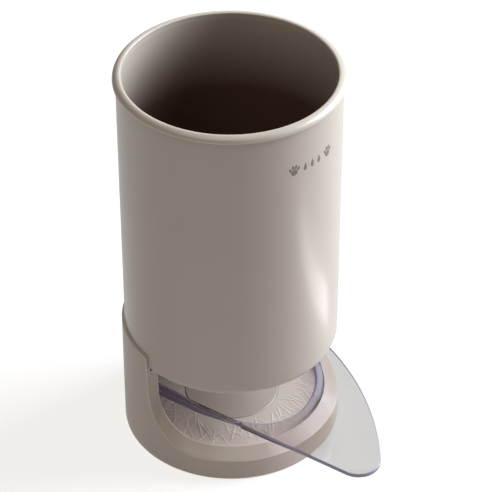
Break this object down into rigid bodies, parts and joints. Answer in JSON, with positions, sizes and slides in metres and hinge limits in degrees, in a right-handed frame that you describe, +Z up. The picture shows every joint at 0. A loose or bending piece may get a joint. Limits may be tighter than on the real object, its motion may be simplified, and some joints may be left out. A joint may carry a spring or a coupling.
{
  "type": "paw washer cup",
  "caption": "Straight open cup with a soft bristle sleeve and floor drain, standing on a round base with a front window and a clear swing-out spout.",
  "frame": {"origin": "centre of the foot pad's underside, on the cup's axis, where the object stands", "axes": "+Z up along the cup's axis; -Y is the front, where the window is open and the spout points; +X is on the right of a person facing the front"},
  "size_m": [0.096, 0.1345, 0.1827],
  "materials": {
    "cup_plastic": "warm taupe, smooth with a soft gloss",
    "base_plastic": "warm taupe, fine satin",
    "tray_plastic": "warm taupe, fine satin, embossed ribs",
    "clear_plastic": "clear, polished, faint violet at the edges",
    "soft_silicone": "dark umber, soft, matt",
    "black_rubber": "matt",
    "stainless": "turned"
  },
  "bodies": {
    "base": {"base_shell": "base_plastic", "cup_platform": "base_plastic", "platform_pad": "black_rubber", "platform_screws": "stainless", "drip_tray": "tray_plastic", "tray_cap": "tray_plastic", "tray_screw": "stainless", "base_plate": "base_plastic", "base_screws": "stainless", "foot_pad": "black_rubber"},
    "cup": {"cup_shell": "cup_plastic", "rim_ring": "cup_plastic", "drain_seat": "stainless", "drain_gasket": "black_rubber", "drain_nut": "stainless", "hair_strainer": "stainless"},
    "sleeve": {"sleeve_shell": "base_plastic", "bristle_mat": "soft_silicone"},
    "plug": {"drain_plug": "black_rubber", "plug_oring": "soft_silicone", "plug_knob": "base_plastic"},
    "spout": {"spout": "clear_plastic"}
  },
  "joints": [
    {"name": "spout_swivel", "type": "hinge", "parent": "base", "child": "spout", "pos_m": [0, 0, 0.0156], "axis": [0, 0, 1], "range_deg": [-45, 0]},
    {"name": "cup_lift", "type": "slide", "parent": "base", "child": "cup", "axis": [0, 0, 1], "range_m": [0, 0.08]},
    {"name": "sleeve_lift", "type": "slide", "parent": "cup", "child": "sleeve", "axis": [0, 0, 1], "range_m": [0, 0.14]},
    {"name": "plug_lift", "type": "slide", "parent": "cup", "child": "plug", "axis": [0, 0, 1], "range_m": [0, 0.14]}
  ]
}
